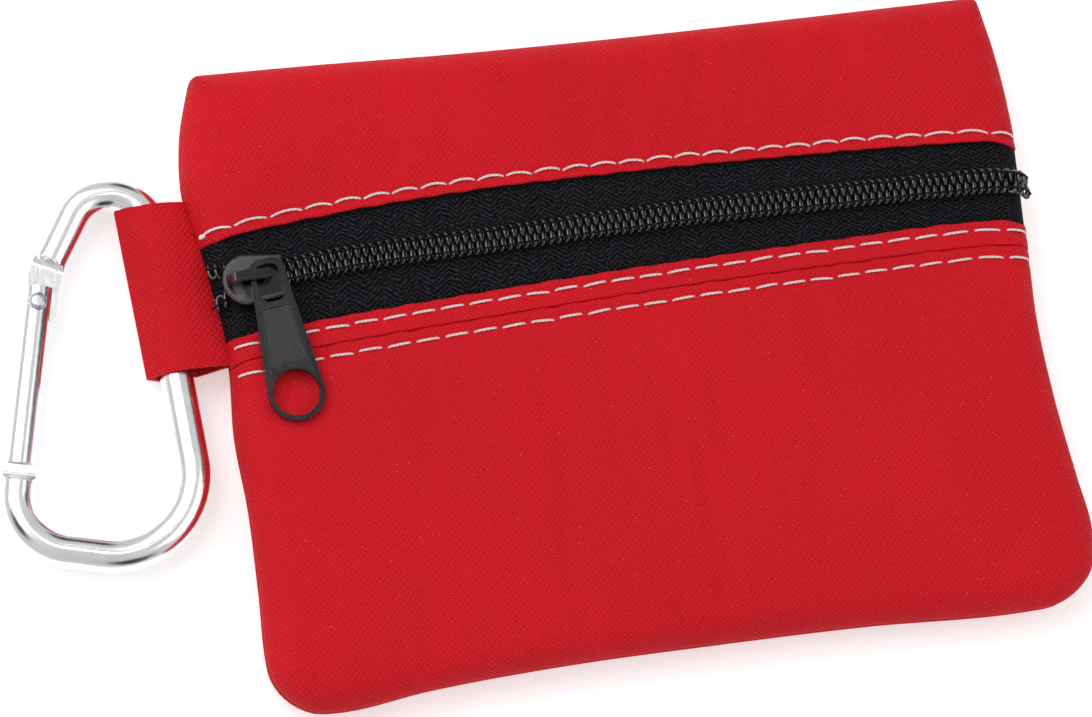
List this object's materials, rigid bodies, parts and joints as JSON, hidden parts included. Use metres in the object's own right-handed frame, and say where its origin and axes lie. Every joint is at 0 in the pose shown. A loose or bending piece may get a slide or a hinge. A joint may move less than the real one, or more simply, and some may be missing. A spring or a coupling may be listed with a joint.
{
  "type": "first aid kit",
  "caption": "Pocket first aid kit: flat zipped fabric pouch packed with dressings, with a gated D carabiner on a webbing loop.",
  "frame": {"origin": "centre of the pouch's back face, where it lies flat on a table", "axes": "+X along the zip from the clip side to the far side, +Y from the bottom edge to the top edge, +Z out of the front"},
  "size_m": [0.1606, 0.0968, 0.0162],
  "materials": {
    "red_fabric": "coarse woven polyester, matt with a faint sheen",
    "red_webbing": "woven webbing, matt",
    "black_tape": "herringbone woven tape",
    "black_coil": "nylon coil, semi-gloss",
    "white_thread": "spun polyester thread",
    "black_enamel": "satin black enamel on zinc",
    "polished_aluminium": "polished",
    "rivet_steel": "satin",
    "spring_steel": "drawn wire",
    "gauze_wrap": "paper wrapped gauze",
    "wipe_foil": "laminate sachet",
    "ointment_foil": "laminate sachet",
    "bandage_paper": "paper wrapper"
  },
  "bodies": {
    "pouch": {"back_panel": "red_fabric", "upper_front_panel": "red_fabric", "lower_front_panel": "red_fabric", "lower_zip_strip": "red_fabric", "upper_zip_tape": "black_tape", "lower_zip_tape": "black_tape", "upper_zip_coil": "black_coil", "lower_zip_coil": "black_coil", "upper_stitching": "white_thread", "strip_stitching": "white_thread", "lower_stitching": "white_thread", "gauze_pad_1": "gauze_wrap", "gauze_pad_2": "gauze_wrap", "antiseptic_wipe_1": "wipe_foil", "antiseptic_wipe_2": "wipe_foil", "antiseptic_wipe_3": "wipe_foil", "ointment_sachet_1": "ointment_foil", "ointment_sachet_2": "ointment_foil", "adhesive_bandage_1": "bandage_paper", "adhesive_bandage_2": "bandage_paper", "adhesive_bandage_3": "bandage_paper", "adhesive_bandage_4": "bandage_paper", "adhesive_bandage_5": "bandage_paper"},
    "slider": {"zip_slider": "black_enamel"},
    "pull": {"pull_tab": "black_enamel"},
    "loop": {"webbing_loop": "red_webbing"},
    "carabiner": {"carabiner_body": "polished_aluminium"},
    "gate": {"carabiner_gate": "polished_aluminium", "gate_rivet": "rivet_steel", "gate_spring": "spring_steel"}
  },
  "joints": [
    {"name": "zip_slide", "type": "slide", "parent": "pouch", "child": "slider", "axis": [0.9997, 0.0227, 0], "range_m": [0, 0.108]},
    {"name": "pull_swivel", "type": "hinge", "parent": "slider", "child": "pull", "pos_m": [-0.05575, 0.01499, 0.01415], "axis": [0, 0, 1], "range_deg": [0, 170]},
    {"name": "loop_flex", "type": "hinge", "parent": "pouch", "child": "loop", "pos_m": [-0.062, 0.0164, 0.006], "axis": [0, 1, 0], "range_deg": [0, 35]},
    {"name": "carabiner_swing", "type": "hinge", "parent": "loop", "child": "carabiner", "pos_m": [-0.07044, 0.0164, 0.00415], "axis": [-0.0414, 0.9991, 0], "range_deg": [-2.5, 95]},
    {"name": "gate_hinge", "type": "hinge", "parent": "carabiner", "child": "gate", "pos_m": [-0.0889, 0.0169, 0.00415], "axis": [0, 0, 1], "range_deg": [0, 42], "stiffness_Nm_per_rad": 0.03, "springref_deg": -17.19}
  ]
}
